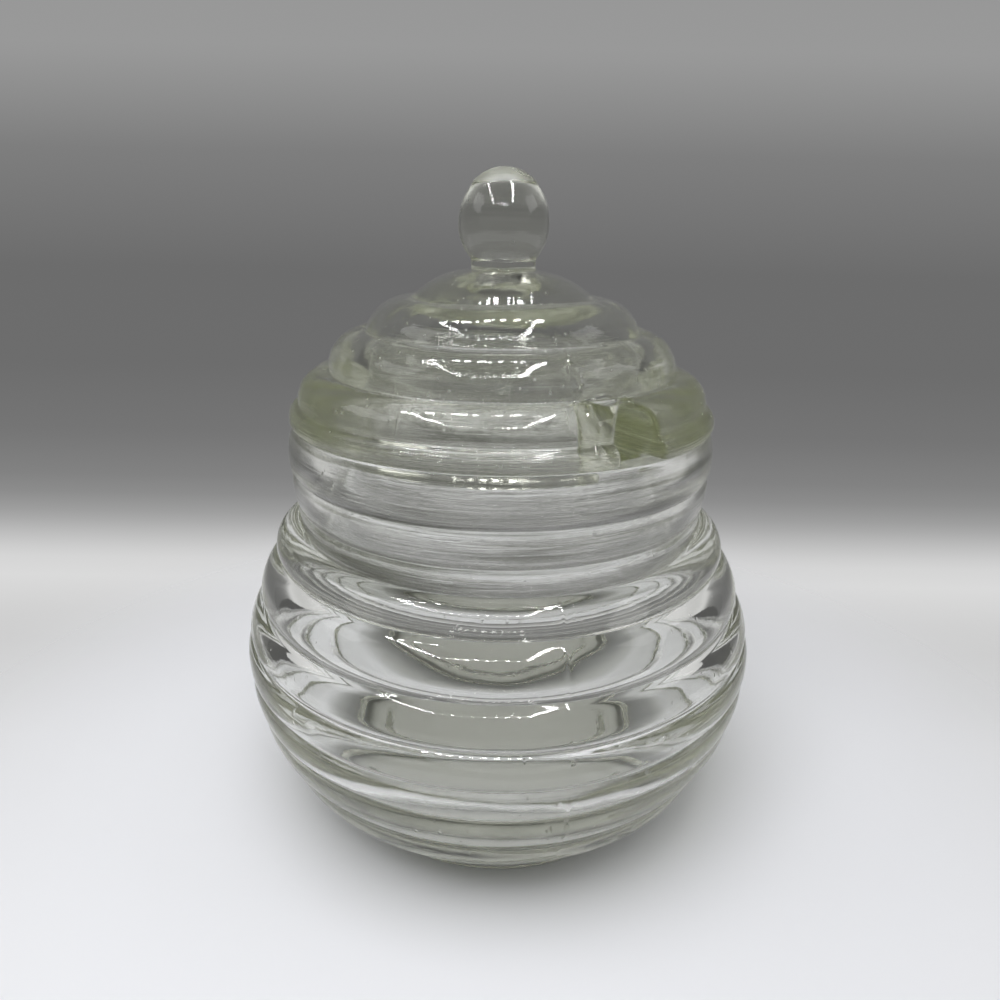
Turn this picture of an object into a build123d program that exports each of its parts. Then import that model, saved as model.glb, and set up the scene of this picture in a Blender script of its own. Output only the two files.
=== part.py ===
from build123d import *
from collections import namedtuple
from math import atan2, dist, hypot, pi, tan
import os

# A beehive honey pot in clear pressed glass: a ringed jar, and a lift-off lid with a ball knob
# and an arched notch for the spoon. Lengths are in mm. The table is Z = 0, the pot's axis is Z,
# and the notch faces -Y.

# A ring swells outwards between two grooves. top_radius is the groove above it, height is
# from groove to groove, and swell is how far its middle stands out.
Ring = namedtuple("Ring", "top_radius height swell")

# Jar, outside, from the table up
foot_radius = 38.0
foot_height = 3.0
foot_rounding = 0.6
cove_height = 8.9
cove_depth = 0.9
heel_radius = 47.6
heel_ring = Ring(top_radius=51.5, height=8.1, swell=1.3)
lower_ring = Ring(top_radius=55.3, height=9.3, swell=1.5)
belly_ring = Ring(top_radius=56.4, height=7.3, swell=1.2)
girth_ring = Ring(top_radius=56.2, height=7.7, swell=1.3)
upper_ring = Ring(top_radius=53.1, height=7.6, swell=1.5)
shoulder_ring = Ring(top_radius=48.6, height=9.7, swell=2.2)
roll_ring = Ring(top_radius=43.2, height=5.7, swell=3.7)
collar_low_ring = Ring(top_radius=44.1, height=5.8, swell=0.5)
collar_mid_ring = Ring(top_radius=44.9, height=7.6, swell=0.5)
collar_top_ring = Ring(top_radius=44.6, height=8.5, swell=0.9)
lip_rounding = 1.2

# Jar, inside
mouth_wall = 3.7
throat_drop = 2.0
jar_wall = 4.2
wall_rounding = 30.0
floor_height = 6.5
floor_radius = 35.0
punt_radius = 31.0
punt_depth = 1.2
punt_slope = 3.0

# Lid, outside, from its seat up
lid_overhang = 0.4
lid_side_height = 3.0
lid_bevel = 0.8
lid_rounding = 0.5
ledge_width = 1.3
ledge_rise = 0.3
skirt_tier = Ring(top_radius=36.3, height=6.0, swell=2.5)
third_tier = Ring(top_radius=28.6, height=8.3, swell=2.9)
second_tier = Ring(top_radius=18.9, height=6.4, swell=2.3)
neck_radius = 6.6
neck_height = 2.2
crown_tier = Ring(top_radius=neck_radius, height=5.5, swell=1.3)
knob_radius = 9.1
knob_drop = 6.7
knob_rise = 7.75
cap_radius = 6.3
cap_step = 0.2
cap_height = 3.0

# Lid, inside
lid_wall = 4.2
crown_thickness = 6.0
crown_flat_radius = 10.5
flange_gap = 0.8
flange_depth = 5.0
flange_thickness = 8.0
flange_taper = 0.5
flange_rounding = 1.0

# Notch for the spoon
notch_width = 9.8
notch_height = 9.8

rounding_share = 0.45  # the most of a line that the rounding at its end takes
cut_clearance = 1.0  # how far the notch's cut runs on past the glass

body_rings = [heel_ring, lower_ring, belly_ring, girth_ring, upper_ring, shoulder_ring, roll_ring]
collar_rings = [collar_low_ring, collar_mid_ring, collar_top_ring]
lid_tiers = [skirt_tier, third_tier, second_tier, crown_tier]


def grooves(start, rings):
    """The groove corners (radius, height) from start up, one above each ring."""
    corners = [start]
    for ring in rings:
        corners.append((ring.top_radius, corners[-1][1] + ring.height))
    return corners


def draw_rings(corners, rings):
    """One outward arc for each ring, from groove to groove."""
    for low, high, ring in zip(corners, corners[1:], rings):
        SagittaArc(low, high, -ring.swell)


def into_glass(point, before, after, depth):
    """A point moved by depth into the glass, square to the way from before to after."""
    run = after[0] - before[0]
    rise = after[1] - before[1]
    length = hypot(run, rise)
    return (point[0] - depth * rise / length, point[1] + depth * run / length)


def set_in(corners, depth):
    """The middle corners of a run, moved square to the wall into the glass."""
    return [into_glass(here, before, after, depth)
            for before, here, after in zip(corners, corners[1:], corners[2:])]


def draw_smooth(points, rounding):
    """A run of lines with each corner rounded, by less where the lines beside it are short."""
    radii = []
    for before, here, after in zip(points, points[1:], points[2:]):
        heading = atan2(here[1] - before[1], here[0] - before[0])
        turn = abs(atan2(after[1] - here[1], after[0] - here[0]) - heading)
        turn = min(turn, 2 * pi - turn)
        shorter_line = min(dist(before, here), dist(here, after))
        radii.append(min(rounding, rounding_share * shorter_line / tan(turn / 2)))
    FilletPolyline(*points, radius=radii)


foot_top = (foot_radius, foot_height)
heel = (heel_radius, foot_height + cove_height)
jar_corners = grooves(heel, body_rings + collar_rings)
neck_root = jar_corners[len(body_rings)]
lip = jar_corners[-1]
jar_height = lip[1] + lip_rounding
mouth_radius = min(radius for radius, _ in jar_corners[len(body_rings):]) - mouth_wall


def draw_jar_outside():
    """From the middle of the base, round the foot and up the rings to the lip's flat top."""
    Polyline((0, punt_depth), (punt_radius - punt_slope, punt_depth), (punt_radius, 0),
             (foot_radius - foot_rounding, 0))
    RadiusArc((foot_radius - foot_rounding, 0), (foot_radius, foot_rounding), -foot_rounding)
    Line((foot_radius, foot_rounding), foot_top)
    SagittaArc(foot_top, heel, cove_depth)
    draw_rings(jar_corners, body_rings + collar_rings)
    RadiusArc(lip, (lip[0] - lip_rounding, jar_height), -lip_rounding)


def draw_jar_inside():
    """From the lip's flat top down the mouth, and down the smooth wall to the floor."""
    mouth_edge = (mouth_radius, jar_height - lip_rounding)
    Line((lip[0] - lip_rounding, jar_height), (mouth_radius + lip_rounding, jar_height))
    RadiusArc((mouth_radius + lip_rounding, jar_height), mouth_edge, -lip_rounding)
    wall_points = set_in([foot_top] + jar_corners[:len(body_rings) + 1], jar_wall)
    draw_smooth([mouth_edge, (mouth_radius, neck_root[1] - throat_drop), *reversed(wall_points),
                 (floor_radius, floor_height), (0, floor_height)], wall_rounding)
    Line((0, floor_height), (0, punt_depth))


def make_jar():
    with BuildPart() as jar:
        with BuildSketch(Plane.XZ):
            with BuildLine():
                draw_jar_outside()
                draw_jar_inside()
            make_face()
        revolve(axis=Axis.Z)
    return jar.part


seat = jar_height
lid_radius = lip[0] + lid_overhang
flange_radius = mouth_radius - flange_gap
flange_foot = seat - flange_depth
flange_inner_radius = flange_radius - flange_thickness
side_top = seat + lid_side_height
ledge = (lid_radius - lid_bevel, side_top + lid_bevel)
tier_start = (ledge[0] - ledge_width, ledge[1] + ledge_rise)
lid_corners = grooves(tier_start, lid_tiers)
crown_height = lid_corners[-1][1]
neck_top = crown_height + neck_height
knob_middle = neck_top + knob_drop
cap_foot = knob_middle + knob_rise
knob_top = cap_foot + cap_height


def draw_knob():
    """From the top of the neck round the ball, over the slightly raised cap, to its top."""
    widest = (knob_radius, knob_middle)
    cap_edge = (cap_radius + cap_step, cap_foot)
    TangentArc(widest, (neck_radius, neck_top), tangent=(0, -1))
    TangentArc(widest, (cap_radius, cap_foot), tangent=(0, 1))
    Line((cap_radius, cap_foot), cap_edge)
    TangentArc((0, knob_top), cap_edge, tangent=(1, 0))


def draw_lid_outside():
    """From the seat up the side and the tiers to the top of the neck."""
    side_foot = (lid_radius, seat + lid_rounding)
    Line((flange_radius, seat), (lid_radius - lid_rounding, seat))
    RadiusArc((lid_radius - lid_rounding, seat), side_foot, -lid_rounding)
    Polyline(side_foot, (lid_radius, side_top), ledge, tier_start)
    draw_rings(lid_corners, lid_tiers)
    Line(lid_corners[-1], (neck_radius, neck_top))


def middle_under(tier, low, high):
    """The point under the middle of a tier, a wall's thickness inside the top of its swell."""
    middle = ((low[0] + high[0]) / 2, (low[1] + high[1]) / 2)
    return into_glass(middle, low, high, lid_wall - tier.swell)


def dome_points():
    """The dome's inside from its foot up: nearly upright inside the thick rim as far as the third
    tier's middle, then under the second tier at an even depth, and flat under the knob."""
    foot = (flange_inner_radius - flange_taper, seat)
    third_middle = middle_under(third_tier, lid_corners[1], lid_corners[2])
    second_middle = middle_under(second_tier, lid_corners[2], lid_corners[3])
    under_third, under_second = set_in(lid_corners[1:], lid_wall)
    ceiling = crown_height - crown_thickness
    return [foot, (foot[0] - flange_taper, third_middle[1]), under_third, second_middle, under_second,
            (crown_flat_radius, ceiling), (0, ceiling)]


def draw_lid_inside():
    """From the knob's top down its axis, along the dome, and round the flange to the seat."""
    dome = dome_points()
    dome_foot, dome_top = dome[0], dome[-1]
    Line((0, knob_top), dome_top)
    draw_smooth(list(reversed(dome)), wall_rounding)
    inner_edge = (flange_inner_radius, flange_foot + flange_rounding)
    outer_edge = (flange_radius, flange_foot + flange_rounding)
    Line(dome_foot, inner_edge)
    RadiusArc(inner_edge, (flange_inner_radius + flange_rounding, flange_foot), -flange_rounding)
    Line((flange_inner_radius + flange_rounding, flange_foot), (flange_radius - flange_rounding, flange_foot))
    RadiusArc((flange_radius - flange_rounding, flange_foot), outer_edge, -flange_rounding)
    Line(outer_edge, (flange_radius, seat))


def make_lid():
    notch_shoulder = seat + notch_height - notch_width / 2
    cut_foot = flange_foot - cut_clearance
    with BuildPart() as lid:
        with BuildSketch(Plane.XZ):
            with BuildLine():
                draw_lid_outside()
                draw_knob()
                draw_lid_inside()
            make_face()
        revolve(axis=Axis.Z)
        with BuildSketch(Plane.XZ):
            with BuildLine():
                Polyline((-notch_width / 2, notch_shoulder), (-notch_width / 2, cut_foot),
                         (notch_width / 2, cut_foot), (notch_width / 2, notch_shoulder))
                RadiusArc((-notch_width / 2, notch_shoulder), (notch_width / 2, notch_shoulder),
                          notch_width / 2)
            make_face()
        extrude(amount=lid_radius + cut_clearance, mode=Mode.SUBTRACT)
    return lid.part


os.makedirs("parts", exist_ok=True)
for node, solid in {"jar": make_jar(), "lid": make_lid()}.items():
    export_step(solid, f"parts/{node}.step")
    print(node, "volume", round(solid.volume / 1000, 1), "cm3, top", round(solid.bounding_box().max.Z, 2))
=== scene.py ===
# Beehive honey pot in clear pressed glass: a ringed jar and a lift-off lid with a ball knob.
# Sizes are in mm, as on the drawing, and mm turns them into metres. The notch faces -Y.
import math
import bpy
import numpy as np
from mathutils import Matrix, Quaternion, Vector


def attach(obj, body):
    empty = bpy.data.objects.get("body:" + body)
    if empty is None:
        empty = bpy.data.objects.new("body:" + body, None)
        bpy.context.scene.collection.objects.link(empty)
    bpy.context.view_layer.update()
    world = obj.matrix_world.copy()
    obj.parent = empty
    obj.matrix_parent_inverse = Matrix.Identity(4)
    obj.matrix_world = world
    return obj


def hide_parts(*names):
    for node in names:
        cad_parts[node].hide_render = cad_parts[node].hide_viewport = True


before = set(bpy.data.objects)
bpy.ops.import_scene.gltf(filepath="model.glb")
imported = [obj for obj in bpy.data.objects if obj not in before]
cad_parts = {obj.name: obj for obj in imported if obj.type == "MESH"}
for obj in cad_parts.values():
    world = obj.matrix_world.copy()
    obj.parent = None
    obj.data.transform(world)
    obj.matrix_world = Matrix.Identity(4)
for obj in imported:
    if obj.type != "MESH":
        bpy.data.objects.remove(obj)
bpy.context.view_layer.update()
scene = bpy.context.scene
scene.view_settings.view_transform = "Standard"
scene.cycles.max_bounces = 28           # light runs a long way inside thick glass
scene.cycles.glossy_bounces = 24
scene.cycles.transmission_bounces = 28
mm = 0.001

# profiles: points (radius, height)

spacing = 0.1               # between the points of an even run
cornerShare = 0.45          # the most of a line that the rounding at its end takes


def arcRun(start, end, bulge, steps=24):
    # points after start up to end on an arc that stands out by bulge to the right of the way
    start, end = np.array(start, float), np.array(end, float)
    chord = end - start
    length = np.hypot(*chord)
    along = chord / length
    right = np.array([along[1], -along[0]])
    half = 2 * math.atan(2 * abs(bulge) / length)
    radius = length / 2 / math.sin(half)
    side = 1 if bulge > 0 else -1
    middle = (start + end) / 2 - side * right * radius * math.cos(half)
    angles = np.linspace(-half, half, steps + 1)[1:]
    return [tuple(middle + radius * (side * right * math.cos(a) + along * math.sin(a)))
            for a in angles]


def roundCorner(before, corner, after, rounding, steps=10):
    # points of a rounded corner, less rounded where the lines beside it are short
    before, corner, after = (np.array(p, float) for p in (before, corner, after))
    toBefore, toAfter = before - corner, after - corner
    room = min(np.hypot(*toBefore), np.hypot(*toAfter))
    toBefore, toAfter = toBefore / np.hypot(*toBefore), toAfter / np.hypot(*toAfter)
    turn = math.pi - math.acos(np.clip(toBefore @ toAfter, -1, 1))
    if turn < 0.01:         # as good as straight
        return [tuple(corner)]
    radius = min(rounding, cornerShare * room / math.tan(turn / 2))
    reach = radius * math.tan(turn / 2)
    inward = (toBefore + toAfter) / np.hypot(*(toBefore + toAfter))
    middle = corner + inward * radius / math.cos(turn / 2)
    first, last = corner + toBefore * reach - middle, corner + toAfter * reach - middle
    angle = math.atan2(first[0] * last[1] - first[1] * last[0], first @ last)
    points = []
    for t in np.linspace(0, 1, steps + 1):
        c, s = math.cos(angle * t), math.sin(angle * t)
        points.append(tuple(middle + (c * first[0] - s * first[1], s * first[0] + c * first[1])))
    return points


def smoothRun(points, rounding):
    run = [points[0]]
    for before, corner, after in zip(points, points[1:], points[2:]):
        run += roundCorner(before, corner, after, rounding)
    return run + [points[-1]]


def grooves(start, rings):
    corners = [start]
    for topRadius, height, _ in rings:
        corners.append((topRadius, corners[-1][1] + height))
    return corners


def flatterRun(start, end, bulge, flat):
    # as arcRun, but with a flatter middle and rounder shoulders
    start, end = np.array(start, float), np.array(end, float)
    length = np.hypot(*(end - start))
    along = (end - start) / length
    right = np.array([along[1], -along[0]])
    run = []
    for point in arcRun(start, end, bulge):
        off = np.array(point) - start
        t = 2 * (off @ along) / length - 1
        run.append(tuple(point + right * flat * (bulge * (1 - t ** 4) - off @ right)))
    return run


def ringRun(corners, rings, flat=()):
    run = []
    for n, (low, high, (_, _, swell)) in enumerate(zip(corners, corners[1:], rings)):
        run += flatterRun(low, high, swell, flat[n]) if flat else arcRun(low, high, swell)
    return run


def intoGlass(point, before, after, depth):
    run, rise = after[0] - before[0], after[1] - before[1]
    length = math.hypot(run, rise)
    return (point[0] - depth * rise / length, point[1] + depth * run / length)


def setIn(corners, depth):
    return [intoGlass(here, before, after, depth)
            for before, here, after in zip(corners, corners[1:], corners[2:])]


def evenRun(points):
    points = np.array(points, float)
    points = points[np.r_[True, np.hypot(*np.diff(points, axis=0).T) > 1e-6]]
    along = np.r_[0, np.cumsum(np.hypot(*np.diff(points, axis=0).T))]
    at = np.linspace(0, along[-1], int(along[-1] / spacing) + 1)
    return np.c_[np.interp(at, along, points[:, 0]), np.interp(at, along, points[:, 1])]


def softened(points, blur):
    # fire-polished: every corner of an even run is rounded over about blur; its ends stay on the
    # axis
    reach = int(4 * blur / spacing)
    weights = np.exp(-0.5 * (np.arange(-reach, reach + 1) * spacing / blur) ** 2)
    weights /= weights.sum()
    mirror = np.array([-1.0, 1.0])
    padded = np.r_[points[reach:0:-1] * mirror, points, points[-2:-reach - 2:-1] * mirror]
    return np.c_[tuple(np.convolve(values, weights, "valid") for values in padded.T)]


def thinned(points, mostDegrees, mostLength):
    # fewer points where the run is nearly straight
    heading = np.unwrap(np.arctan2(*np.diff(points, axis=0).T[::-1]))
    mostTurn = math.radians(mostDegrees)
    kept, last = [0], 0
    for n in range(1, len(points) - 1):
        length = math.hypot(*(points[n + 1] - points[last]))
        if length > mostLength or abs(heading[n] - heading[last]) > mostTurn:
            kept.append(n)
            last = n
    return points[kept + [len(points) - 1]]


# meshes

def wavyField(seed, waves, shortest, longest, flatten):
    # a fixed sum of soft waves, for the uneven surface of hand-pressed glass
    rng = np.random.default_rng(seed)
    lengths = np.exp(rng.uniform(math.log(shortest), math.log(longest), waves))
    ways = rng.normal(size=(waves, 3)) * (1, 1, flatten)
    ways /= np.linalg.norm(ways, axis=1)[:, None]
    phases = rng.uniform(0, 2 * math.pi, waves)
    heights = lengths / longest
    heights /= math.sqrt((heights ** 2).sum() / 2)

    def field(places):
        return np.sin(places @ (ways * (2 * math.pi / lengths)[:, None]).T + phases) @ heights
    return field


def meshFrom(name, places, faces):
    mesh = bpy.data.meshes.new(name)
    mesh.from_pydata((places * mm).tolist(), [], faces)
    mesh.validate()
    mesh.polygons.foreach_set("use_smooth", [True] * len(mesh.polygons))
    mesh.update()
    piece = bpy.data.objects.new(name, mesh)
    scene.collection.objects.link(piece)
    return piece


def besideSeam(around, radii, seam):
    # how far a place is from a seam, round the pot
    return np.angle(np.exp(1j * (around - math.radians(seam)))) * radii


def turned(name, profile, angles, dents):
    # spins a run that starts and ends on the axis; angles go once round
    count, rim = len(angles), profile[1:-1]
    heights, around = np.repeat(rim[:, 1], count), np.tile(angles, len(rim))
    radii = dents(np.repeat(rim[:, 0], count), heights, around)
    places = np.c_[radii * np.cos(around), radii * np.sin(around), heights]
    places = np.r_[places, [(0, 0, profile[0, 1]), (0, 0, profile[-1, 1])]]
    start, end = len(places) - 2, len(places) - 1
    faces = []
    for row in range(len(rim) - 1):
        for column in range(count):
            a, b = row * count + column, row * count + (column + 1) % count
            faces.append((a, b, b + count, a + count))
    lastRow = (len(rim) - 1) * count
    for column in range(count):
        after = (column + 1) % count
        faces.append((start, after, column))
        faces.append((end, lastRow + column, lastRow + after))
    return meshFrom(name, places, faces)


# jar

jarShape = {
    "punt": [(0, 1.2), (28.0, 1.2), (31.0, 0.0)],
    "foot": [(37.4, 0.0), (37.83, 0.17), (38.0, 0.6), (38.0, 3.0)],
    "coveDepth": 0.9,
    "heel": (47.6, 11.9),
    # radius of the groove above, height and swell of each ring
    "rings": [(51.5, 8.1, 1.3), (55.3, 9.3, 1.5), (56.4, 7.3, 1.2), (56.2, 7.7, 1.3),
              (53.1, 7.6, 1.5), (48.6, 9.7, 2.2), (43.2, 5.7, 3.7), (44.1, 5.8, 0.5),
              (44.9, 7.6, 0.5), (44.6, 8.5, 0.9)],
    "flat": [0.5, 0.5, 0.5, 0.5, 0.5, 0.4, 0.0, 0.6, 0.6, 0.4],     # share of a flatter middle
    "bodyRings": 7,
    "lipRounding": 1.2,
    "mouthRadius": 39.5,
    "throatDrop": 2.0,
    "wall": 4.2,
    "wallRounding": 30.0,
    "floor": (35.0, 6.5),
    "polish": (0.3, 0.25),      # how far the fire rounded the grooves, low down and high up
    "polishFade": (32, 56),     # heights between the two
    "scored": (0.25, 0.5),      # depth and half width of the fine line along each groove
    "thin": (7, 1.6),           # most degrees and most length between two points of the profile
    "segments": 232,            # even steps round the pot
    "seams": {-110.0: 0.07, 70.0: 0.015},     # angle and height of each
    "seamWidth": 0.4,
    "seamColumns": (-0.9, -0.5, -0.2, 0.2, 0.5, 0.9),   # degrees beside a seam
    # heights and radii of a line inside the glass, between the outer and the inner wall
    "withinWall": ([6.5, 8, 10, 14, 20, 30, 40, 50, 58, 63, 67],
                   [36, 37.5, 41, 45.5, 49, 53, 54.2, 51.6, 47.6, 43.5, 41.5]),
    "waveField": (4, 26, 14, 60, 1.6),      # seed, how many, shortest, longest, flattening
    "rippleField": (5, 30, 3.0, 9.0, 2.0),
    "waves": (0.16, 0.05),      # how high, on the inside and on the outside
    "ripples": (0.012, 0.006),
    "calm": (1, 89, 4),         # no waves beyond these heights, and full ones 4 mm further in
}


def jarRun(shape):
    corners = grooves(shape["heel"], shape["rings"])
    outside = shape["punt"] + shape["foot"]
    outside += arcRun(outside[-1], shape["heel"], -shape["coveDepth"])
    outside += ringRun(corners, shape["rings"], shape["flat"])
    lip, rounding = corners[-1], shape["lipRounding"]
    top, room = lip[1] + rounding, rounding * 3
    outside += roundCorner(lip, (lip[0], top), (lip[0] - room, top), rounding)
    mouth = shape["mouthRadius"]
    inside = roundCorner((mouth + room, top), (mouth, top), (mouth, top - room), rounding)
    wall = setIn([shape["foot"][-1]] + corners[:shape["bodyRings"] + 1], shape["wall"])
    root = (mouth, corners[shape["bodyRings"]][1] - shape["throatDrop"])
    middle = (0, shape["floor"][1])
    inside += smoothRun([inside[-1], root, *reversed(wall), shape["floor"], middle],
                        shape["wallRounding"])
    return outside + inside


def scored(points, shape):
    # a fine line along every groove between two rings
    depth, width = shape["scored"]
    cut = np.zeros(len(points))
    for radius, height in grooves(shape["heel"], shape["rings"])[1:-1]:
        off = np.hypot(points[:, 0] - radius, points[:, 1] - height)
        cut = np.maximum(cut, depth * np.exp(-(off / width) ** 2))
    return points - np.c_[cut, np.zeros(len(points))]


def jarAngles(shape):
    # once round in even steps, with finer ones at the seams
    angles = list(np.linspace(-math.pi, math.pi, shape["segments"], endpoint=False))
    for seam in shape["seams"]:
        for offset in shape["seamColumns"]:
            angles.append((math.radians(seam + offset) + math.pi) % (2 * math.pi) - math.pi)
    return np.array(sorted(angles))


jarWaves = wavyField(*jarShape["waveField"])
jarRipples = wavyField(*jarShape["rippleField"])


def jarDents(radii, heights, around):
    # the wall waves a little, more on the inside, and two mould seams stand up outside
    shape = jarShape
    places = np.c_[radii * np.cos(around), radii * np.sin(around), heights]
    line = np.interp(heights, *shape["withinWall"])
    inside = (heights > shape["floor"][1] - 0.1) & (radii < line)
    foot, lip, fade = shape["calm"]
    share = np.clip((heights - foot) / fade, 0, 1) * np.clip((lip - heights) / fade, 0, 1)
    wave, ripple = (np.where(inside, *shape[name]) for name in ("waves", "ripples"))
    bend = wave * jarWaves(places) + ripple * jarRipples(places)
    ridges = np.zeros_like(radii)
    for seam, height in shape["seams"].items():
        ridges += height * np.exp(-(besideSeam(around, radii, seam) / shape["seamWidth"]) ** 2)
    return radii + share * (bend + np.where(inside, 0, ridges))


jarDrawn = scored(evenRun(jarRun(jarShape)), jarShape)
lowPolished, highPolished = (softened(jarDrawn, blur) for blur in jarShape["polish"])
highShare = np.interp(jarDrawn[:, 1], jarShape["polishFade"], (0, 1))[:, None]
jarPolished = lowPolished * (1 - highShare) + highPolished * highShare
jarProfile = thinned(jarPolished, *jarShape["thin"])
jarPiece = turned("jarGlass", jarProfile, jarAngles(jarShape), jarDents)
print("jar turned:", len(jarProfile), "points a side,", len(jarPiece.data.polygons), "faces")

# lid

lidShape = {
    "seat": 90.4,
    "radius": 45.0,
    "sideHeight": 3.0,
    "bevel": 0.8,
    "rounding": 0.5,
    "bead": (43.4, 94.35, 0.7),     # where the bulging side ends, and how far it bulges
    "beadSteps": 16,
    "ledge": (1.3, 0.3),        # width, rise
    "tiers": [(36.3, 6.0, 2.5), (28.6, 8.3, 2.9), (18.9, 6.4, 2.3), (6.6, 5.5, 1.3)],
    "neckHeight": 2.2,
    "knobRadius": 9.1,
    "knobDrop": 6.7,
    "knobRise": 7.75,
    "cap": (6.3, 0.2, 3.0),     # radius, step, height
    "wall": 4.2,
    "crownThickness": 6.0,
    "crownFlat": 10.5,
    "domeRounding": 30.0,
    "flangeRadius": 38.7,
    "flangeDepth": 5.0,
    "flangeThickness": 8.0,
    "flangeTaper": 0.5,
    "flangeRounding": 1.0,
    "polish": 0.3,              # how far the fire rounded the corners
    "thin": (4, 1.0),           # as the jar's
    "notch": (9.8, 9.8),        # width, height
    "notchRounding": 1.1,
    "waveField": (7, 26, 11, 45, 1.4),
    "rippleField": (8, 40, 2.6, 8.0, 1.6),
    "waves": (0.10, 0.012),     # how high, the long ones and the ripples
    "calm": (0.3, 2.5),         # waves start this far above the seat, and grow over this height
    "capCalm": (138, 4, 0.25),  # from 4 mm below this height they sink to a quarter
    "seam": {"angle": -101.6, "depth": 0.11, "width": 0.5, "wander": 0.5, "top": 111, "fade": 2},
    "lift": 0.06,               # keeps the two glass faces from lying in one plane
    "map": {"low": (-3.0, 81.4), "high": (49.0, 145.0), "step": 0.15},
    "voxel": 0.42,
    "drawing": {"rounds": 6, "leastSlope": 0.2, "longest": 0.5},
}


def ballRun(side, end, steps=30):
    # circle arc that leaves side upright and passes through end
    (sideRadius, sideHeight), (endRadius, endHeight) = side, end
    rise, draw = endHeight - sideHeight, sideRadius - endRadius
    radius = (draw ** 2 + rise ** 2) / (2 * draw)
    full = math.atan2(abs(rise), radius - draw)
    middle = sideRadius - radius
    return [(middle + radius * math.cos(a), sideHeight + math.copysign(radius * math.sin(a), rise))
            for a in np.linspace(0, full, steps + 1)]


def domeRun(edge, top, steps=16):
    # circle arc from edge to a level top on the axis
    drop = top - edge[1]
    radius = (edge[0] ** 2 + drop ** 2) / (2 * drop)
    full = math.asin(edge[0] / radius)
    return [(radius * math.sin(a), top - radius + radius * math.cos(a))
            for a in np.linspace(full, 0, steps + 1)]


def lidDome(shape, foot, corners):
    # nearly upright inside the thick rim, then under the upper tiers, up to a flat under the knob
    def middleUnder(n):
        low, high = corners[n], corners[n + 1]
        middle = ((low[0] + high[0]) / 2, (low[1] + high[1]) / 2)
        return intoGlass(middle, low, high, shape["wall"] - shape["tiers"][n][2])
    rimTop = (foot[0] - shape["flangeTaper"], middleUnder(1)[1])
    underThird, underSecond = setIn(corners[1:], shape["wall"])
    ceiling = corners[-1][1] - shape["crownThickness"]
    return smoothRun([foot, rimTop, underThird, middleUnder(2), underSecond,
                      (shape["crownFlat"], ceiling), (0, ceiling)], shape["domeRounding"])


def lidRun(shape):
    # from the knob's top down the outside, round the flange and up the dome to the axis
    seat, radius, rounding = shape["seat"], shape["radius"], shape["rounding"]
    ledge = (radius - shape["bevel"], seat + shape["sideHeight"] + shape["bevel"])
    tierStart = (ledge[0] - shape["ledge"][0], ledge[1] + shape["ledge"][1])
    corners = grooves(tierStart, shape["tiers"])
    neckRadius, crown = corners[-1]
    neckTop = (neckRadius, crown + shape["neckHeight"])
    widest = (shape["knobRadius"], neckTop[1] + shape["knobDrop"])
    capRadius, capStep, capHeight = shape["cap"]
    capFoot = (capRadius, widest[1] + shape["knobRise"])
    up = [(radius - rounding, seat), (radius, seat + rounding)]
    up += arcRun(up[-1], shape["bead"][:2], shape["bead"][2], shape["beadSteps"]) + [tierStart]
    up += ringRun(corners, shape["tiers"]) + [neckTop]
    up += list(reversed(ballRun(widest, neckTop)))[1:] + ballRun(widest, capFoot)[1:]
    up += domeRun((capRadius + capStep, capFoot[1]), capFoot[1] + capHeight)
    outer = shape["flangeRadius"]
    inner, foot = outer - shape["flangeThickness"], seat - shape["flangeDepth"]
    down = smoothRun([(outer, seat), (outer, foot), (inner, foot),
                      (inner - shape["flangeTaper"], seat)], shape["flangeRounding"])
    return list(reversed(up)) + down + lidDome(shape, down[-1], corners)[1:]


def distanceMap(points, low, high, step):
    # signed distance to the closed outline of a run, on a grid: below zero is glass
    across = np.arange(low[0], high[0] + step / 2, step)
    upward = np.arange(low[1], high[1] + step / 2, step)
    nearest = np.full((len(upward), len(across)), np.inf)
    crossings = np.zeros(nearest.shape, int)
    x, z = np.meshgrid(across, upward)
    mirrored = np.r_[points, points[::-1] * (-1, 1)]
    for a, b in zip(mirrored, np.roll(mirrored, -1, axis=0)):
        way = b - a
        length = way @ way
        if length < 1e-12:
            continue
        if max(a[0], b[0]) > low[0] - 1:
            t = np.clip(((x - a[0]) * way[0] + (z - a[1]) * way[1]) / length, 0, 1)
            away = (x - a[0] - t * way[0]) ** 2 + (z - a[1] - t * way[1]) ** 2
            nearest = np.minimum(nearest, away)
        if a[1] != b[1]:
            rows = (upward > min(a[1], b[1])) & (upward <= max(a[1], b[1]))
            cross = a[0] + (upward[rows] - a[1]) / way[1] * way[0]
            crossings[rows] += across[None, :] < cross[:, None]
    return np.where(crossings % 2 == 1, -1, 1) * np.sqrt(nearest)


def softMax(a, b, blend):
    mix = np.clip(0.5 + 0.5 * (a - b) / blend, 0, 1)
    return b + (a - b) * mix + blend * mix * (1 - mix)


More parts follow.
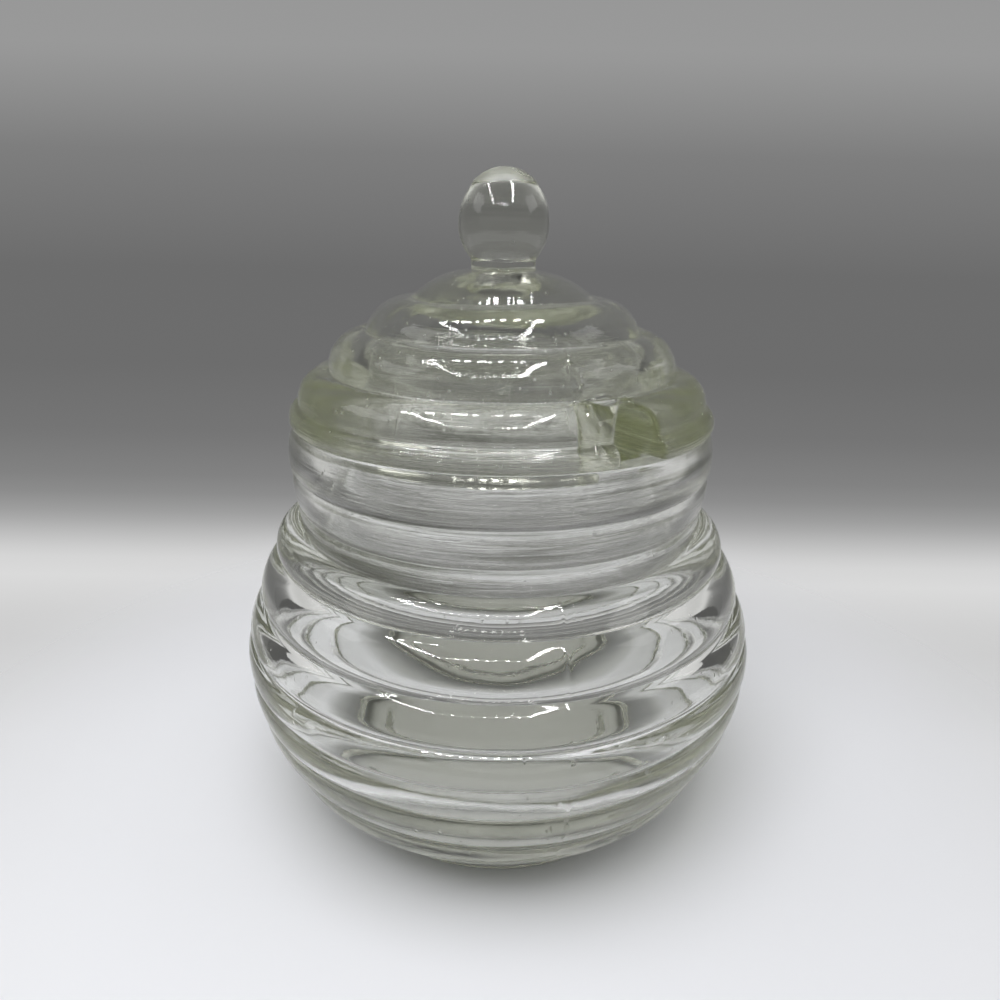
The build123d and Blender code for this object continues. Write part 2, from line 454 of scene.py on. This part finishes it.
class LidField:
    # how far a place is from the lid's surface, with the notch cut and its edges melted round
    def __init__(self, shape):
        self.shape, self.step = shape, shape["map"]["step"]
        self.low = np.array(shape["map"]["low"])
        profile = thinned(softened(evenRun(lidRun(shape)), shape["polish"]), *shape["thin"])
        self.map = distanceMap(profile, self.low, shape["map"]["high"], self.step)
        self.waves = wavyField(*shape["waveField"])
        self.ripples = wavyField(*shape["rippleField"])

    def turnedPart(self, radius, height):
        x = (radius - self.low[0]) / self.step
        z = (height - self.low[1]) / self.step
        column = np.clip(x.astype(int), 0, self.map.shape[1] - 2)
        row = np.clip(z.astype(int), 0, self.map.shape[0] - 2)
        x, z = x - column, z - row
        grid = self.map
        return ((grid[row, column] * (1 - x) + grid[row, column + 1] * x) * (1 - z)
                + (grid[row + 1, column] * (1 - x) + grid[row + 1, column + 1] * x) * z)

    def __call__(self, places):
        shape, seam = self.shape, self.shape["seam"]
        x, y, z = places.T
        radius, ripples = np.hypot(x, y), self.ripples(places)
        (start, growth), (top, fade, least) = shape["calm"], shape["capCalm"]
        share = np.clip((z - shape["seat"] - start) / growth, 0, 1)
        share = share * np.clip((top - z) / fade, least, 1)
        wave, ripple = shape["waves"]
        away = self.turnedPart(radius, z) + share * (wave * self.waves(places) + ripple * ripples)
        off = besideSeam(np.arctan2(y, x), radius, seam["angle"]) + seam["wander"] * ripples
        ridge = seam["depth"] * np.exp(-(off / seam["width"]) ** 2)
        away = away - ridge * np.clip((seam["top"] - z) / seam["fade"], 0, 1) * share
        width, height = shape["notch"]
        shoulder = shape["seat"] + height - width / 2
        arch = np.where(z < shoulder, np.abs(x), np.hypot(x, z - shoulder)) - width / 2
        arch = np.where(y < 0, arch, shape["radius"])       # the back has no notch
        return softMax(away, -arch, shape["notchRounding"])


def slopeOf(field, places, reach=0.12):
    slope = np.empty_like(places)
    for axis in range(3):
        step = np.zeros(3)
        step[axis] = reach
        slope[:, axis] = (field(places + step) - field(places - step)) / (2 * reach)
    return slope


def pressedLid(name, shape):
    # the lid's own solid, remeshed fine and even, then drawn on to the melted surface
    solid = bpy.data.objects.new(name + "Solid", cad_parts["lid"].data.copy())
    scene.collection.objects.link(solid)
    remesh = solid.modifiers.new("remesh", "REMESH")
    remesh.mode = "VOXEL"
    remesh.voxel_size = shape["voxel"] * mm
    evaluated = solid.evaluated_get(bpy.context.evaluated_depsgraph_get())
    mesh = bpy.data.meshes.new_from_object(evaluated)
    bpy.data.objects.remove(solid)
    places = np.empty(len(mesh.vertices) * 3)
    mesh.vertices.foreach_get("co", places)
    places = places.reshape(-1, 3) / mm
    field, drawing = LidField(shape), shape["drawing"]
    longest = drawing["longest"]
    for _ in range(drawing["rounds"]):
        slope = slopeOf(field, places)
        steepness = np.maximum((slope ** 2).sum(1), drawing["leastSlope"])
        places -= np.clip(field(places) / steepness, -longest, longest)[:, None] * slope
    normals = slopeOf(field, places)
    normals /= np.maximum(np.linalg.norm(normals, axis=1), 1e-9)[:, None]
    places[:, 2] += shape["lift"]
    mesh.vertices.foreach_set("co", (places * mm).ravel())
    mesh.polygons.foreach_set("use_smooth", [True] * len(mesh.polygons))
    mesh.normals_split_custom_set_from_vertices(normals.tolist())
    mesh.update()
    mesh.name = name
    mesh.materials.clear()
    piece = bpy.data.objects.new(name, mesh)
    scene.collection.objects.link(piece)
    return piece


lidPiece = pressedLid("lidGlass", lidShape)
print("lid drawn on to its surface:", len(lidPiece.data.polygons), "faces")

# materials

def newMaterial(name):
    material = bpy.data.materials.new(name)
    material.use_nodes = True
    tree = material.node_tree
    tree.nodes.clear()
    return material, tree


def addNode(tree, kind, **values):
    node = tree.nodes.new(kind)
    for key, value in values.items():
        if key in node.inputs:
            node.inputs[key].default_value = value
        else:
            setattr(node, key, value)
    return node


def toSurface(tree, shader, kind="ShaderNodeOutputMaterial"):
    output = addNode(tree, kind)
    tree.links.new(shader, output.inputs["Surface"])
    return output


def axesOf(tree, vector):
    apart = addNode(tree, "ShaderNodeSeparateXYZ")
    tree.links.new(vector, apart.inputs["Vector"])
    return apart.outputs


def band(tree, value, start, end):
    # 0 to 1 between two values, which may be numbers or sockets
    edge = addNode(tree, "ShaderNodeMapRange", interpolation_type="SMOOTHSTEP")
    tree.links.new(value, edge.inputs["Value"])
    for name, place in (("From Min", start), ("From Max", end)):
        if isinstance(place, float):
            edge.inputs[name].default_value = place
        else:
            tree.links.new(place, edge.inputs[name])
    return edge.outputs["Result"]


def reckon(tree, operation, *values, clamp=False):
    node = addNode(tree, "ShaderNodeMath", operation=operation, use_clamp=clamp)
    for socket, value in zip(node.inputs, values):
        if isinstance(value, (int, float)):
            socket.default_value = value
        else:
            tree.links.new(value, socket)
    return node.outputs[0]


# the surface group's inputs and their usual values: scales per metre, depths in mm, heights in m
surfaceInputs = {
    "Grain": 260.0, "Grain Depth": 0.004, "Lines": 900.0, "Lines Depth": 0.01,
    "Lines Elsewhere": 0.1, "Lines From": 0.07, "Lines To": 0.09, "Lines Roughness": 0.0,
    "Dust": 0.3, "Frost": 0.5, "Frost From": 1.0, "Crust Depth": 0.0,
    "Ledge Frost": 0.2, "Ledge From": 1.0, "Ledge To": 1.0,
    "Clean Roughness": 0.0, "Dusty Roughness": 0.4,
    "Dust Coat": 0.3, "Lines Coat": 0.0, "Frost Coat": 0.0,
    "Streaks": 0.0, "Tint": (1, 1, 1, 1),
}
surfaceOutputs = {"Height": "Float", "Roughness": "Float", "Color": "Color", "Coat": "Float"}
surfaceLook = {
    "linesStretch": (0.02, 0.02, 1.0),      # draws the lines out round the pot
    # metres over which the lines and the two frosts set in
    "linesEdge": 0.002,
    "ledgeEdge": 0.0004,
    "frostEdge": 0.001,
    # scales per metre
    "specks": 420.0,
    "patches": 55.0,
    "crust": 700.0,
    "speckSize": (0.16, 0.05),  # distances from a speck's middle where it starts and is full
    "speckHeight": 0.12,        # mm
    # noise values where each sets in and where it is full
    "dustyPatches": (0.42, 0.6),
    "frostyPatches": (0.25, 0.6),
    "brightLines": (0.46, 0.62),
    "darkLines": (0.5, 0.36),
    "streakColor": (0.25, 0.26, 0.2),
}


def glassSurface(look):
    # pressed glass: soft grain, lines left by the mould round the pot, dust and a frosted top
    # heights come out in mm for a bump with a distance of 1 mm; places go in as metres
    group = bpy.data.node_groups.new("pressedGlassSurface", "ShaderNodeTree")
    for name, value in surfaceInputs.items():
        kind = "NodeSocketFloat" if isinstance(value, float) else "NodeSocketColor"
        socket = group.interface.new_socket(name, in_out="INPUT", socket_type=kind)
        socket.default_value = value
    for name, kind in surfaceOutputs.items():
        group.interface.new_socket(name, in_out="OUTPUT", socket_type="NodeSocket" + kind)
    given = addNode(group, "NodeGroupInput").outputs
    result = addNode(group, "NodeGroupOutput").inputs
    link = group.links.new
    place = addNode(group, "ShaderNodeTexCoord").outputs["Object"]
    height = axesOf(group, place)["Z"]

    def times(*values, **settings):
        return reckon(group, "MULTIPLY", *values, **settings)

    def plus(*values, **settings):
        return reckon(group, "ADD", *values, **settings)

    def between(low, high, edge):
        # 1 between two given heights, and 0 outside them
        rise = band(group, height, given[low], plus(given[low], edge))
        fall = band(group, height, given[high], reckon(group, "SUBTRACT", given[high], edge))
        return times(rise, fall)
    stretched = addNode(group, "ShaderNodeMapping", Scale=look["linesStretch"])
    link(place, stretched.inputs["Vector"])
    grain = addNode(group, "ShaderNodeTexNoise", Detail=5.0, Roughness=0.75)
    lines = addNode(group, "ShaderNodeTexNoise", Detail=4.0, Roughness=0.55)
    crust = addNode(group, "ShaderNodeTexNoise", Scale=look["crust"], Detail=3.0)
    specks = addNode(group, "ShaderNodeTexVoronoi", Scale=look["specks"])
    patches = addNode(group, "ShaderNodeTexNoise", Scale=look["patches"], Detail=4.0)
    for texture in (grain, specks, patches, crust):
        link(place, texture.inputs["Vector"])
    link(stretched.outputs["Vector"], lines.inputs["Vector"])
    link(given["Grain"], grain.inputs["Scale"])
    link(given["Lines"], lines.inputs["Scale"])
    drawn, patchy = lines.outputs["Fac"], patches.outputs["Fac"]

    linesShare = reckon(group, "MAXIMUM", between("Lines From", "Lines To", look["linesEdge"]),
                        given["Lines Elsewhere"])
    speckled = times(band(group, specks.outputs["Distance"], *look["speckSize"]),
                     band(group, patchy, *look["dustyPatches"]))
    dust = times(speckled, given["Dust"], clamp=True)
    ledge = between("Ledge From", "Ledge To", look["ledgeEdge"])
    frostFrom = given["Frost From"]
    top = times(given["Frost"], band(group, height, frostFrom, plus(frostFrom, look["frostEdge"])))
    frost = reckon(group, "MAXIMUM", times(ledge, given["Ledge Frost"]), top)
    frosted = times(frost, band(group, patchy, *look["frostyPatches"]))

    rough = addNode(group, "ShaderNodeMapRange")
    link(reckon(group, "MAXIMUM", dust, frosted), rough.inputs["Value"])
    link(given["Clean Roughness"], rough.inputs["To Min"])
    link(given["Dusty Roughness"], rough.inputs["To Max"])
    link(reckon(group, "MAXIMUM", rough.outputs["Result"],
                times(linesShare, given["Lines Roughness"])), result["Roughness"])

    bright = times(band(group, drawn, *look["brightLines"]), linesShare)
    dustCoat, linesCoat, frostCoat = (times(share, given[name]) for share, name in (
        (dust, "Dust Coat"), (bright, "Lines Coat"), (top, "Frost Coat")))
    link(plus(plus(dustCoat, linesCoat), frostCoat, clamp=True), result["Coat"])

    dark = times(band(group, drawn, *look["darkLines"]), linesShare)
    streaked = addNode(group, "ShaderNodeMix", data_type="RGBA", blend_type="MULTIPLY")
    link(times(dark, given["Streaks"]), streaked.inputs["Factor"])
    link(given["Tint"], streaked.inputs["A"])
    streaked.inputs["B"].default_value = (*look["streakColor"], 1)
    link(streaked.outputs["Result"], result["Color"])

    linesHeight = times(times(drawn, linesShare), given["Lines Depth"])
    grainHeight = times(grain.outputs["Fac"], given["Grain Depth"])
    crustHeight = times(times(crust.outputs["Fac"], top), given["Crust Depth"])
    roughHeight = plus(times(dust, look["speckHeight"]), crustHeight)
    link(plus(plus(linesHeight, grainHeight), roughHeight), result["Height"])
    return group


surfaceGroup = glassSurface(surfaceLook)

jarFinish = {
    "name": "jarClearGlass",
    "tint": (0.99, 0.992, 0.988),
    "absorb": (0.78, 0.80, 0.62),
    "density": 9.5,
    "streaks": 0.8,
    "coatRoughness": 0.6,       # dry dust and scratches catch the lights
    "dustVeil": (0.02, 0.2),    # weight and roughness of the dust that shows towards the edges
    "shade": (0.87, 0.87, 0.855),
    "edgeShade": (0.52, 0.525, 0.50),
    "footShade": (0.28, 0.285, 0.26),
    "footArea": (13.0, 34.5),   # the shade holds below this height and beyond this radius, in mm
    "footEdge": (2.5, 2.0),     # and grows over this height and this width
    "surface": {"Grain": 260.0, "Grain Depth": 0.008, "Lines": 850.0, "Lines Depth": 0.12,
                "Lines Elsewhere": 0.0, "Lines Roughness": 0.05, "Lines From": 0.0655,
                "Lines To": 0.0915, "Dust": 0.3, "Clean Roughness": 0.0, "Dusty Roughness": 0.5,
                "Dust Coat": 0.4, "Lines Coat": 0.25},
}
lidFinish = {
    "name": "lidTintedGlass",
    "tint": (0.985, 0.99, 0.97),
    "absorb": (0.765, 0.79, 0.60),
    "density": 17.0,
    "streaks": 0.6,
    "coatRoughness": 0.6,
    "dustVeil": (0.15, 0.3),
    "shade": (0.93, 0.93, 0.905),
    "edgeShade": (0.6, 0.605, 0.57),
    "surface": {"Grain": 320.0, "Grain Depth": 0.012, "Lines": 1500.0, "Lines Depth": 0.38,
                "Lines Elsewhere": 0.1, "Lines Roughness": 0.03, "Lines From": 0.0885,
                "Lines To": 0.0962, "Dust": 0.8, "Frost": 0.9, "Frost From": 0.1368,
                "Crust Depth": 0.08, "Ledge Frost": 0.06, "Ledge From": 0.0906,
                "Ledge To": 0.0947, "Clean Roughness": 0.0, "Dusty Roughness": 0.6,
                "Dust Coat": 1.0, "Lines Coat": 0.6, "Frost Coat": 0.5},
}


def footShade(tree, shade, finish):
    # the thick foot lets less light through to the floor round it
    top, inner = (value * mm for value in finish["footArea"])
    rise, width = (value * mm for value in finish["footEdge"])
    axes = axesOf(tree, addNode(tree, "ShaderNodeTexCoord").outputs["Object"])
    across, along = (reckon(tree, "MULTIPLY", axes[name], axes[name]) for name in "XY")
    radius = reckon(tree, "SQRT", reckon(tree, "ADD", across, along))
    low = band(tree, axes["Z"], top, top - rise)
    share = reckon(tree, "MULTIPLY", low, band(tree, radius, inner, inner + width))
    darker = addNode(tree, "ShaderNodeMix", data_type="RGBA")
    darker.inputs["B"].default_value = (*finish["footShade"], 1)
    tree.links.new(share, darker.inputs["Factor"])
    tree.links.new(shade, darker.inputs["A"])
    return darker.outputs["Result"]


def glassMaterial(finish):
    material, tree = newMaterial(finish["name"])
    link = tree.links.new
    surface = addNode(tree, "ShaderNodeGroup", node_tree=surfaceGroup)
    for name, value in finish["surface"].items():
        surface.inputs[name].default_value = value
    surface.inputs["Tint"].default_value = (*finish["tint"], 1)
    surface.inputs["Streaks"].default_value = finish["streaks"]
    bump = addNode(tree, "ShaderNodeBump", Strength=1.0, Distance=1 * mm)
    link(surface.outputs["Height"], bump.inputs["Height"])
    veil, veilRoughness = finish["dustVeil"]
    glass = addNode(tree, "ShaderNodeBsdfPrincipled", **{
        "IOR": 1.5, "Transmission Weight": 1.0, "Coat Roughness": finish["coatRoughness"],
        "Sheen Weight": veil, "Sheen Roughness": veilRoughness})
    link(surface.outputs["Color"], glass.inputs["Base Color"])
    link(surface.outputs["Coat"], glass.inputs["Coat Weight"])
    link(surface.outputs["Roughness"], glass.inputs["Roughness"])
    link(bump.outputs["Normal"], glass.inputs["Normal"])
    inside = addNode(tree, "ShaderNodeVolumeAbsorption", Density=finish["density"])
    inside.inputs["Color"].default_value = (*finish["absorb"], 1)

    # lamps shine through the glass on to the floor, and its edges cast the darker shadow
    paths = addNode(tree, "ShaderNodeLightPath").outputs
    through = reckon(tree, "MAXIMUM", paths["Is Shadow Ray"], paths["Is Diffuse Ray"])
    facing = addNode(tree, "ShaderNodeLayerWeight", Blend=0.5)
    shade = addNode(tree, "ShaderNodeMix", data_type="RGBA")
    shade.inputs["A"].default_value = (*finish["shade"], 1)
    shade.inputs["B"].default_value = (*finish["edgeShade"], 1)
    link(facing.outputs["Facing"], shade.inputs["Factor"])
    cast = shade.outputs["Result"]
    if "footShade" in finish:
        cast = footShade(tree, cast, finish)
    clear = addNode(tree, "ShaderNodeBsdfTransparent")
    link(cast, clear.inputs["Color"])
    mix = addNode(tree, "ShaderNodeMixShader")
    link(through, mix.inputs["Fac"])
    link(glass.outputs["BSDF"], mix.inputs[1])
    link(clear.outputs["BSDF"], mix.inputs[2])
    link(inside.outputs["Volume"], toSurface(tree, mix.outputs["Shader"]).inputs["Volume"])
    return material


jarPiece.data.materials.append(glassMaterial(jarFinish))
lidPiece.data.materials.append(glassMaterial(lidFinish))
print("glass materials made")

# floor, backdrop and lights

def linear(level):
    # a 0-255 screen value as light
    value = level / 255
    return value / 12.92 if value < 0.04045 else ((value + 0.055) / 1.055) ** 2.4


studio = {
    "viewTurn": 33.5,           # the camera stands this far round from the notch
    "floorSize": 400,
    "floorColor": (238, 239, 243),
    "floorRoughness": 0.5,
    "floorSpecular": 0.05,
    "floorFade": (85, 190),     # beyond this far from the pot the floor runs into the backdrop
    # the backdrop's tone with its light and shade painted in: elevation in degrees, level from 0
    # to 255
    "backdrop": [(-90, 234), (-51, 234), (-45, 222), (-38, 216), (-35, 208), (-31, 205),
                 (-29, 208), (-26, 218), (-24.4, 212), (-22.9, 190), (-21.4, 162), (-19.8, 141),
                 (-18.3, 130), (-15, 117), (-10, 109), (-3, 108), (5, 126), (11, 153), (14, 152),
                 (22, 112), (45, 100), (90, 90)],
    "straight": 0.7,            # keeps the backdrop's bands level across the view
    "ambient": 0.3,
}


def studioFloor(values):
    material, tree = newMaterial("paleFloor")
    link = tree.links.new
    place = addNode(tree, "ShaderNodeTexCoord")
    away = addNode(tree, "ShaderNodeVectorMath", operation="LENGTH")
    link(place.outputs["Object"], away.inputs[0])
    near, far = (distance * mm for distance in values["floorFade"])
    surface = addNode(tree, "ShaderNodeBsdfPrincipled", **{
        "Roughness": values["floorRoughness"], "Specular IOR Level": values["floorSpecular"]})
    surface.inputs["Base Color"].default_value = (*(linear(v) for v in values["floorColor"]), 1)
    link(band(tree, away.outputs["Value"], far, near), surface.inputs["Alpha"])
    toSurface(tree, surface.outputs["BSDF"])
    half = values["floorSize"] / 2
    corners = [(-half, -half, 0.0), (half, -half, 0.0), (half, half, 0.0), (-half, half, 0.0)]
    floor = meshFrom("floor", np.array(corners), [(0, 1, 2, 3)])
    floor.rotation_euler.z = -math.radians(values["viewTurn"])
    floor.data.materials.append(material)


def studioWorld(values):
    # the backdrop that the camera and the glass see glows with painted light and shade from the
    # levels; the rest of the world is a plain ambient light
    world = bpy.data.worlds.new("softRoom")
    scene.world = world
    world.use_nodes = True
    tree = world.node_tree
    tree.nodes.clear()
    link = tree.links.new
    way = addNode(tree, "ShaderNodeTexCoord").outputs["Generated"]
    turn = math.radians(values["viewTurn"])
    behind = addNode(tree, "ShaderNodeVectorMath", operation="DOT_PRODUCT")
    behind.inputs[1].default_value = (math.sin(turn), math.cos(turn), 0)
    link(way, behind.inputs[0])
    sideways = addNode(tree, "ShaderNodeVectorMath", operation="MULTIPLY")
    sideways.inputs[1].default_value = (values["straight"], values["straight"], 0)
    link(way, sideways.inputs[0])
    aside = addNode(tree, "ShaderNodeVectorMath", operation="LENGTH")
    link(sideways.outputs[0], aside.inputs[0])
    far = reckon(tree, "MAXIMUM", reckon(tree, "ABSOLUTE", behind.outputs["Value"]),
                 aside.outputs["Value"])
    angle = reckon(tree, "ARCTANGENT", reckon(tree, "DIVIDE", axesOf(tree, way)["Z"], far))
    share = addNode(tree, "ShaderNodeMapRange", **{
        "From Min": -math.pi / 2, "From Max": math.pi / 2})
    link(angle, share.inputs["Value"])
    ramp = addNode(tree, "ShaderNodeValToRGB")
    link(share.outputs["Result"], ramp.inputs["Fac"])
    stops = values["backdrop"]
    while len(ramp.color_ramp.elements) < len(stops):
        ramp.color_ramp.elements.new(0.5)
    for element, (elevation, level) in zip(ramp.color_ramp.elements, stops):
        element.position = (elevation + 90) / 180
        element.color = (*[linear(level)] * 3, 1)
    seen = addNode(tree, "ShaderNodeBackground", Strength=1.0)
    link(ramp.outputs["Color"], seen.inputs["Color"])
    light = addNode(tree, "ShaderNodeBackground", Strength=values["ambient"])
    paths = addNode(tree, "ShaderNodeLightPath").outputs
    mirrored = reckon(tree, "MAXIMUM", paths["Is Glossy Ray"], paths["Is Transmission Ray"])
    mix = addNode(tree, "ShaderNodeMixShader")
    link(reckon(tree, "MAXIMUM", paths["Is Camera Ray"], mirrored), mix.inputs["Fac"])
    link(light.outputs["Background"], mix.inputs[1])
    link(seen.outputs["Background"], mix.inputs[2])
    toSurface(tree, mix.outputs["Shader"], "ShaderNodeOutputWorld")


def softLamp(name, place, target, size, power, glossy):
    lamp = bpy.data.lights.new(name, "AREA")
    lamp.shape = "RECTANGLE"
    lamp.size, lamp.size_y = size[0] * mm, size[1] * mm
    lamp.energy = power
    thing = bpy.data.objects.new(name, lamp)
    scene.collection.objects.link(thing)
    thing.location = Vector(place) * mm
    way = Vector(target) * mm - thing.location
    thing.rotation_euler = way.to_track_quat("-Z", "Y").to_euler()
    thing.visible_glossy = thing.visible_transmission = glossy
    thing.visible_camera = False


def roundTheAxis(across, ahead, height):
    # a place given to the right of the camera's line of sight, beyond the pot, and up
    turn = -math.radians(studio["viewTurn"])
    return (across * math.cos(turn) - ahead * math.sin(turn),
            across * math.sin(turn) + ahead * math.cos(turn), height)


lamps = [
    # name, place (across, ahead, up), size, power, shows in reflections
    ("topLamp", (-60, -165, 474), (330, 380), 1.88, False),
    ("leftLamp", (-420, -60, 330), (260, 260), 0.3, True),
    ("rightLamp", (420, -60, 330), (260, 260), 0.3, True),
]
lampTarget = (0, 0, 50)


def onlyInGlass(thing):
    # part of the stage that the camera and the lamps' light pass by
    thing.visible_camera = thing.visible_diffuse = thing.visible_shadow = False


ledRows = {
    "height": 474,
    "front": -400,
    "back": 8,
    "left": -228,
    "right": 104,
    "pitch": 38.0,
    "lampSize": (14.0, 22.0),   # along its row, across it
    "strength": 90.0,
    "opening": 14,              # the dark top opening of the tent lies this far inside the rows
    "openingRise": 4,           # and this far above them
    "openingStrength": 0.004,
}


def tentTop(values):
    # the top of a folding light tent: a frame of small lights round a dark opening, which only
    # show in the glass
    left, right, front, back = (values[key] for key in ("left", "right", "front", "back"))
    along, across = (side / 2 for side in values["lampSize"])

    def spots(start, end):
        return np.linspace(start, end, round((end - start) / values["pitch"]) + 1)
    lights = [(x, y, along, across) for y in (front, back) for x in spots(left, right)]
    lights += [(x, y, across, along) for x in (left, right) for y in spots(front, back)[1:-1]]

    def glowing(name, squares, height, strength):
        places, faces = [], []
        for x, y, a, b in squares:
            first = len(places)
            places += [roundTheAxis(x + i * a, y + j * b, height)
                       for i, j in ((-1, -1), (-1, 1), (1, 1), (1, -1))]
            faces.append((first, first + 1, first + 2, first + 3))
        material, tree = newMaterial(name)
        glow = addNode(tree, "ShaderNodeEmission", Strength=strength)
        toSurface(tree, glow.outputs["Emission"])
        thing = meshFrom(name, np.array(places, float), faces)
        thing.data.materials.append(material)
        onlyInGlass(thing)
    glowing("ledRows", lights, values["height"], values["strength"])
    inside = values["opening"]
    opening = ((left + right) / 2, (front + back) / 2,
               (right - left) / 2 - inside, (back - front) / 2 - inside)
    glowing("tentOpening", [opening], values["height"] + values["openingRise"],
            values["openingStrength"])


tent = {
    "half": 440,                # side walls
    "front": -420,
    "drop": 0.6,                # keeps it under the floor
    "bend": (130, 110),         # where the floor starts to curve up, and its radius
    "top": 430,
    # the side walls glow with painted shade at this level
    "wallLevel": 85,
    "graded": (-162, 129),      # ahead and height that the backdrop's levels hold for
    "upperLevel": 112,          # the most, above that height
    "step": 10,
    "bendSteps": 16,
}


def tentLining(values, stops):
    # floor, sweep and walls of the tent glow with painted light and shade in the glass; lamps and
    # camera pass through
    bend, radius = values["bend"]
    front, top, step = values["front"], values["top"], values["step"]
    profile = [(y, -values["drop"]) for y in np.arange(front, bend, step)]
    profile += [(bend + radius * math.sin(a), radius - radius * math.cos(a))
                for a in np.linspace(0, math.pi / 2, values["bendSteps"])]
    profile += [(bend + radius, z) for z in np.arange(radius + step, top, step)]
    angles, levels = zip(*stops)
    places, shades, faces = [], [], []

    def strip(rows):
        first, width = len(places), len(rows[0])
        for row in rows:
            places.extend(roundTheAxis(x, y, z) for x, y, z, _ in row)
            shades.extend(shade for *_, shade in row)
        for r in range(len(rows) - 1):
            for c in range(width - 1):
                a = first + r * width + c
                faces.append((a, a + 1, a + width + 1, a + width))
    half, (eyeAhead, eyeHeight) = values["half"], values["graded"]
    sweep = []
    for y, z in profile:
        angle = math.degrees(math.atan2(z - eyeHeight, max(y - eyeAhead, 1)))
        most = values["upperLevel"] if angle > 0 else 255
        shade = linear(min(np.interp(angle, angles, levels), most))
        sweep.append([(x, y, z, shade) for x in (-half, half)])
    strip(sweep)
    wall = linear(values["wallLevel"])
    for side in (-half, half):
        strip([[(side, y, z, wall) for y in (front / 2, bend + radius)] for z in (0, top)])
    material, tree = newMaterial("tentLining")
    shade = addNode(tree, "ShaderNodeAttribute", attribute_name="shade")
    glow = addNode(tree, "ShaderNodeEmission", Strength=1.0)
    tree.links.new(shade.outputs["Color"], glow.inputs["Color"])
    toSurface(tree, glow.outputs["Emission"])
    lining = meshFrom("tentLining", np.array(places, float), faces)
    colours = lining.data.color_attributes.new("shade", "FLOAT_COLOR", "POINT")
    colours.data.foreach_set("color", np.repeat(shades, 4).astype(np.float32))
    lining.data.materials.append(material)
    onlyInGlass(lining)


studioFloor(studio)
studioWorld(studio)
for name, place, size, power, glossy in lamps:
    softLamp(name, roundTheAxis(*place), lampTarget, size, power, glossy)
tentTop(ledRows)
tentLining(tent, studio["backdrop"])
print("floor, backdrop and lights set")

# camera

view = {
    "lens": 27.04,              # mm, as the sensor's width
    "sensor": 36,
    "clip": (0.005, 20),        # metres
    "distance": 161.9,
    "height": 128.7,
    "pitch": -19.84,
    "roll": 0.9,
}
cameraData = bpy.data.cameras.new("camera")
cameraData.lens, cameraData.sensor_width = view["lens"], view["sensor"]
cameraData.clip_start, cameraData.clip_end = view["clip"]
camera = bpy.data.objects.new("camera", cameraData)
scene.collection.objects.link(camera)
camera.location = Vector(roundTheAxis(0, -view["distance"], view["height"])) * mm
pitch = math.radians(view["pitch"])
ahead = Vector(roundTheAxis(0, math.cos(pitch), math.sin(pitch)))
camera.rotation_mode = "QUATERNION"
roll = Quaternion((0, 0, 1), math.radians(view["roll"]))
camera.rotation_quaternion = ahead.to_track_quat("-Z", "Y") @ roll
scene.camera = camera

# the frame

for piece, body, slot in ((jarPiece, "jar", "jar_glass"), (lidPiece, "lid", "lid_glass")):
    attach(piece, body)
    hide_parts(body)
